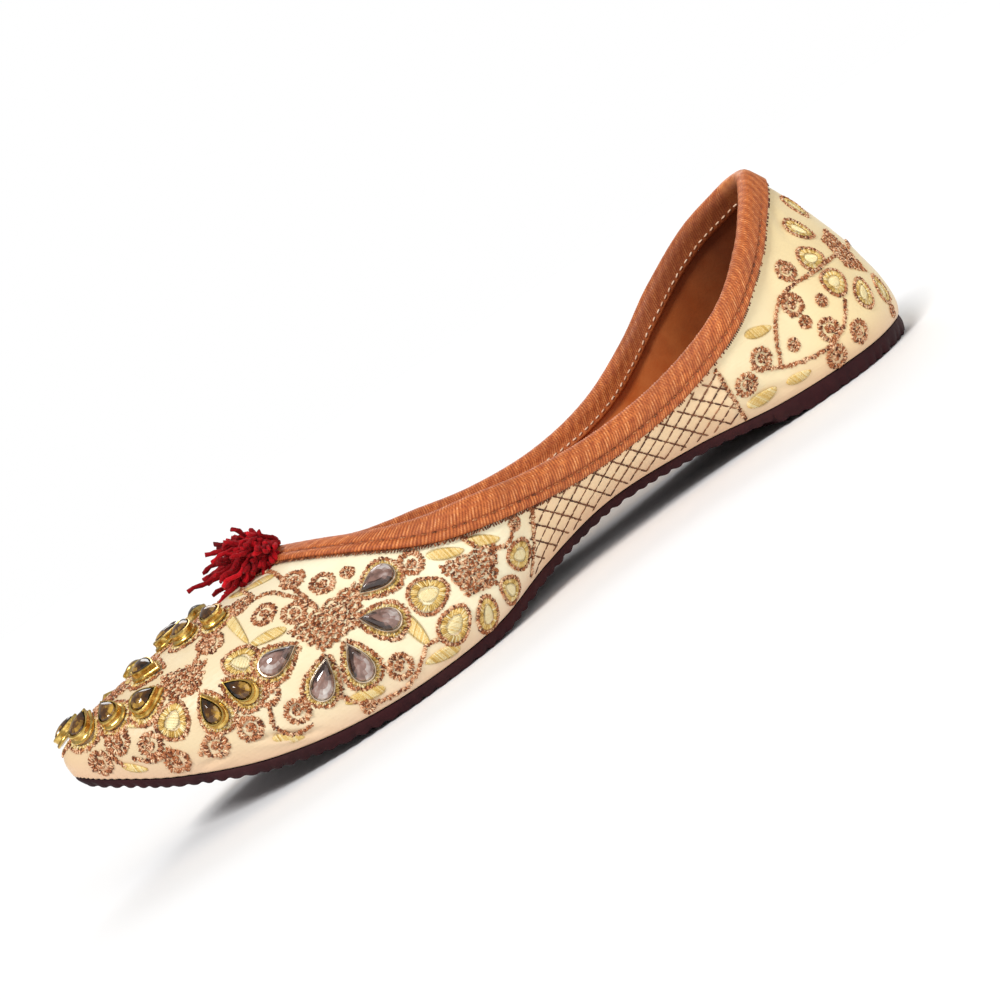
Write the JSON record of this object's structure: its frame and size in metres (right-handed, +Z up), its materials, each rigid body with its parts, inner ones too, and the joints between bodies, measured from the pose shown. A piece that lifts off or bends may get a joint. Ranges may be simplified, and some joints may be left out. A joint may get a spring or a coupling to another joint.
{
  "type": "mojari shoe",
  "caption": "Right flat slip-on mojari with an upturned pointed toe, low open topline, silk upper set with drop-shaped stones, and a red yarn pompom.",
  "frame": {"origin": "centre of the bounding box, on the ground plane under the sole", "axes": "+Z up; the toe points to -Y and the heel to +Y; +X is the inner (medial) side of this right shoe"},
  "size_m": [0.0846, 0.2517, 0.0612],
  "materials": {
    "outsole_rubber": "moulded dark maroon-brown rubber, satin, with a fine cross ridge",
    "upper_silk": "cream silk-like cloth worked with copper and pale gold thread, leather lined",
    "insole_leather": "brown grained insole sheet with a smooth stitched tan border",
    "binding_leather": "orange-tan leather strip, closely whipped, satin",
    "pompom_yarn": "deep red spun yarn",
    "amber_stone": "dark amber glass drop in a bright gold-coloured setting",
    "smoky_stone": "smoky glass drop with a bright foil back"
  },
  "bodies": {
    "root": {"outsole": "outsole_rubber", "upper": "upper_silk", "insole": "insole_leather", "topline_binding": "binding_leather", "pompom": "pompom_yarn", "vamp_stone_01": "amber_stone", "vamp_stone_02": "amber_stone", "vamp_stone_03": "amber_stone", "vamp_stone_04": "amber_stone", "vamp_stone_05": "amber_stone", "vamp_stone_06": "amber_stone", "vamp_stone_07": "amber_stone", "vamp_stone_08": "amber_stone", "vamp_stone_09": "amber_stone", "vamp_stone_10": "amber_stone", "vamp_stone_11": "amber_stone", "vamp_stone_12": "amber_stone", "vamp_stone_13": "amber_stone", "vamp_stone_14": "amber_stone", "vamp_stone_15": "amber_stone", "vamp_stone_16": "amber_stone", "vamp_stone_17": "amber_stone", "vamp_stone_18": "amber_stone", "vamp_stone_19": "amber_stone", "side_stone_01": "smoky_stone", "side_stone_02": "smoky_stone", "side_stone_03": "smoky_stone", "side_stone_04": "smoky_stone", "side_stone_05": "smoky_stone", "side_stone_06": "smoky_stone", "side_stone_07": "smoky_stone", "side_stone_08": "smoky_stone", "side_stone_09": "smoky_stone", "side_stone_10": "smoky_stone"}
  },
  "joints": []
}
